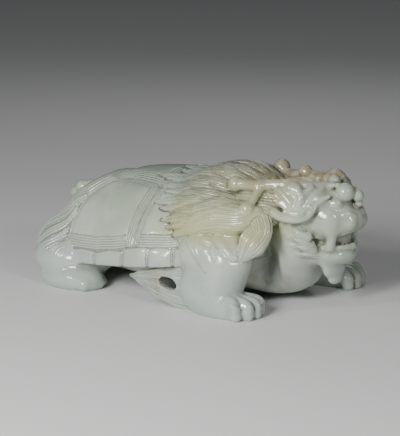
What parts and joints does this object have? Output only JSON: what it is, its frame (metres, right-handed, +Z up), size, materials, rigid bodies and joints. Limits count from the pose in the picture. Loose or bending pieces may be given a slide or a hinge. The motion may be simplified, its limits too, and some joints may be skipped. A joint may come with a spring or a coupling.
{
  "type": "dragon turtle carving",
  "caption": "Solid jade carving of a crouching dragon turtle: horned head, open mouth, combed mane over a plated shell, clawed paws, pierced elbow tufts and an upturned tail.",
  "frame": {"origin": "under the middle of the carving, on the surface that its four paws stand on", "axes": "+X the way the animal faces, +Y its left, +Z up"},
  "size_m": [0.2054, 0.1128, 0.0723],
  "materials": {
    "jade": "polished"
  },
  "bodies": {
    "root": {"dragon_turtle": "jade"}
  },
  "joints": []
}
